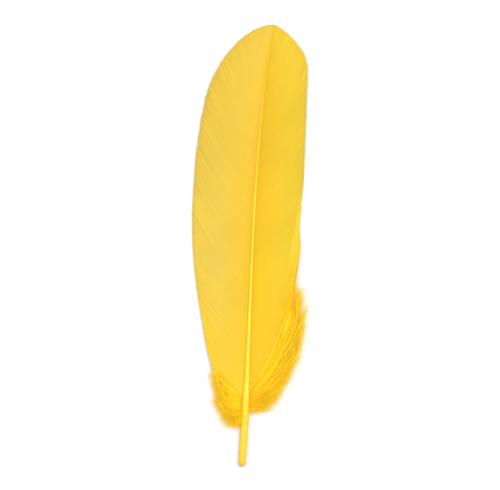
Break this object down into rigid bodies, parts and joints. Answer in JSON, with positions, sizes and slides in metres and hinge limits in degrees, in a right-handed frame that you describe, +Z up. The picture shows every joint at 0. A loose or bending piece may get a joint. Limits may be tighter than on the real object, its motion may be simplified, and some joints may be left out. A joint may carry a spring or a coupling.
{
  "type": "goose quill feather",
  "caption": "Single dyed quill feather lying flat: bare round barrel, tapering curved shaft, a closed vane of barbs on each side and loose down at their foot.",
  "frame": {"origin": "on the surface the feather lies on, under the middle of its box", "axes": "+Y from the barrel to the tip, +Z up out of the domed outer face"},
  "size_m": [0.0444, 0.1662, 0.0063],
  "materials": {
    "feather": "satin"
  },
  "bodies": {
    "root": {"feather": "feather"}
  },
  "joints": []
}
